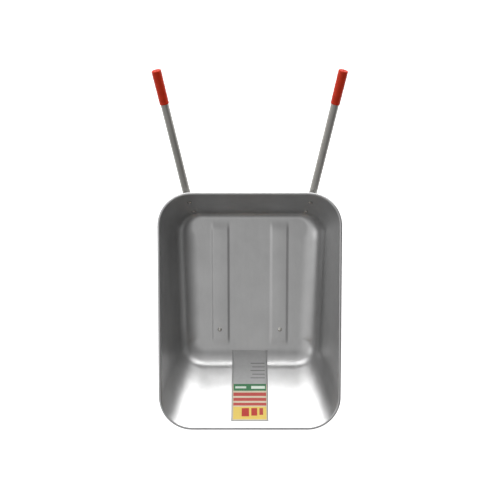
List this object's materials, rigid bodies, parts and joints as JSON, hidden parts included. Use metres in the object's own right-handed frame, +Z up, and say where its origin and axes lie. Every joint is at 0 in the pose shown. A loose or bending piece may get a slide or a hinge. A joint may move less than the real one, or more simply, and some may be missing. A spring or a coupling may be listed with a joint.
{
  "type": "wheelbarrow",
  "caption": "Single-wheel garden wheelbarrow: pressed steel tray with a rolled rim on bent tube rails with red hand grips, tube stands and a pneumatic wheel.",
  "frame": {"origin": "middle of the barrow's footprint box, on the ground under the tray", "axes": "+Y points from the wheel towards the hand grips, +Z is up, +X is to the right when looking along +Y"},
  "size_m": [0.6, 1.2985, 0.6223],
  "materials": {
    "galvanised_tray": "satin zinc-coated sheet",
    "rim_wire": "drawn wire",
    "label_film": "printed film",
    "zinc_hardware": "zinc plated",
    "spacer_plastic": "moulded",
    "frame_tube": "satin grey coat",
    "grip_red": "soft moulded",
    "tyre_rubber": "matte rubber",
    "tube_rubber": "matte rubber",
    "rim_paint": "gloss paint",
    "bearing_steel": "ground steel",
    "cage_brass": "pressed"
  },
  "bodies": {
    "frame": {"tray": "galvanised_tray", "rim_wire": "rim_wire", "label": "label_film", "floor_bolts": "zinc_hardware", "floor_nuts": "zinc_hardware", "floor_washers": "zinc_hardware", "floor_spacers": "spacer_plastic", "wall_bolts": "zinc_hardware", "wall_nuts": "zinc_hardware", "wall_spacers": "spacer_plastic", "rail_left": "frame_tube", "rail_right": "frame_tube", "grip_left": "grip_red", "grip_right": "grip_red", "leg_left": "frame_tube", "leg_right": "frame_tube", "foot_plate_left": "frame_tube", "foot_plate_right": "frame_tube", "leg_bolts": "zinc_hardware", "leg_nuts": "zinc_hardware", "front_crossbar": "frame_tube", "rear_crossbar": "frame_tube", "leg_brace": "frame_tube", "brace_bolts": "zinc_hardware", "brace_nuts": "zinc_hardware", "bearing_inner_rings": "bearing_steel", "bearing_spacer": "zinc_hardware", "axle_bolt": "zinc_hardware", "axle_nut": "zinc_hardware", "axle_washers": "zinc_hardware", "axle_spacers": "zinc_hardware"},
    "wheel": {"tyre": "tyre_rubber", "inner_tube": "tube_rubber", "valve_stem": "tube_rubber", "valve_cap": "spacer_plastic", "rim_half_left": "rim_paint", "rim_half_right": "rim_paint", "rim_bolts": "zinc_hardware", "rim_nuts": "zinc_hardware", "hub_tube": "zinc_hardware", "bearing_outer_rings": "bearing_steel", "bearing_shields": "bearing_steel"},
    "ball_cages": {"bearing_balls": "bearing_steel", "bearing_cages": "cage_brass"}
  },
  "joints": [
    {"name": "wheel_spin", "type": "hinge", "parent": "frame", "child": "wheel", "pos_m": [0, -0.4692, 0.18], "axis": [1, 0, 0], "continuous": true},
    {"name": "cage_spin", "type": "hinge", "parent": "frame", "child": "ball_cages", "pos_m": [0, -0.4692, 0.18], "axis": [1, 0, 0], "continuous": true}
  ],
  "couplings": [
    {"joint": "cage_spin", "follows": "wheel_spin", "ratio": 0.625}
  ]
}
